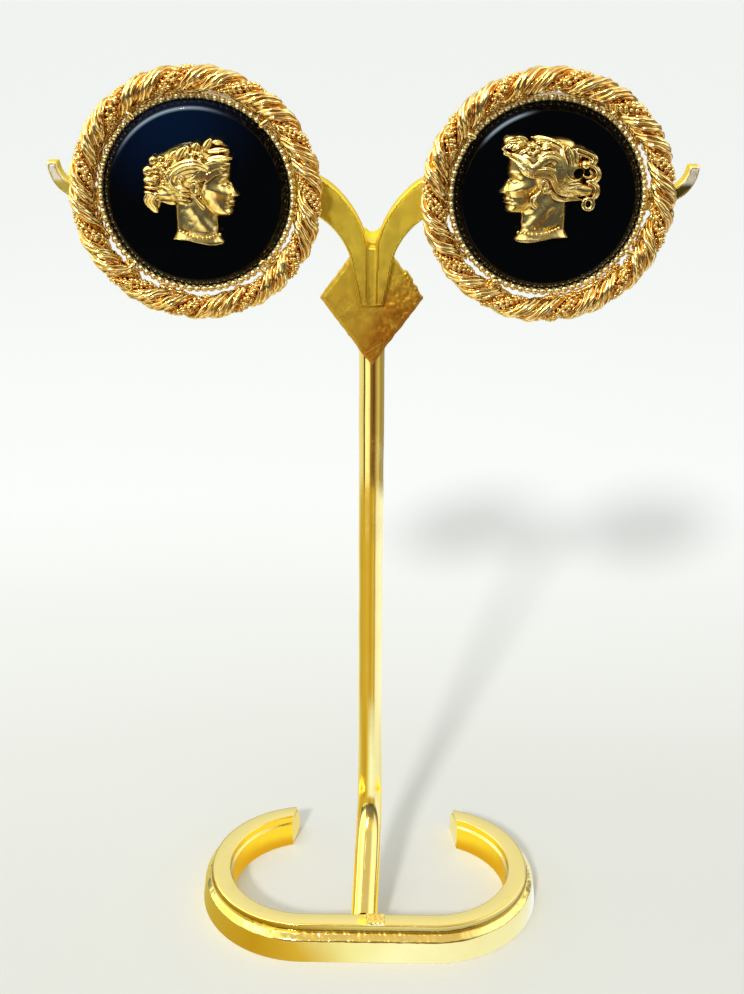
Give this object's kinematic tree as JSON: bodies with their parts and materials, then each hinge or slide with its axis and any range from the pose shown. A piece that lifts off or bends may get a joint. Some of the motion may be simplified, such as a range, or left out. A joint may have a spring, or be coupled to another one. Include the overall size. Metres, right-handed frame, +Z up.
{
  "type": "clip-on earrings on display stand",
  "caption": "Round clip-on earrings with a gold relief head on black glass in a twisted rope frame, clipped to the arms of a small gilt display stand.",
  "frame": {"origin": "On the floor under the middle of the whole part's box", "axes": "+Z up, the earrings face -Y, +X to the right as seen from the front"},
  "size_m": [0.077, 0.0308, 0.1195],
  "materials": {
    "rope_gold": "gold plated cast metal, bright on the high points and warm orange in the recesses",
    "cup_gold": "gold plated metal with a beaded rim",
    "portrait_gold": "polished gold plated casting",
    "black_glass": "opaque black glass, polished",
    "clip_gold": "gold plated sheet spring, slightly rubbed",
    "stand_gold": "bright gold plating, polished with small ripples",
    "head_gold": "satin gold plated casting, brushed and scratched, darker and copper coloured at its lower edges"
  },
  "bodies": {
    "root": {"left_rope_frame": "rope_gold", "left_cup": "cup_gold", "left_glass_disc": "black_glass", "left_portrait": "portrait_gold", "left_clip": "clip_gold", "right_rope_frame": "rope_gold", "right_cup": "cup_gold", "right_glass_disc": "black_glass", "right_portrait": "portrait_gold", "right_clip": "clip_gold", "stand_base": "stand_gold", "stand_post": "stand_gold", "stand_head": "head_gold"}
  },
  "joints": []
}
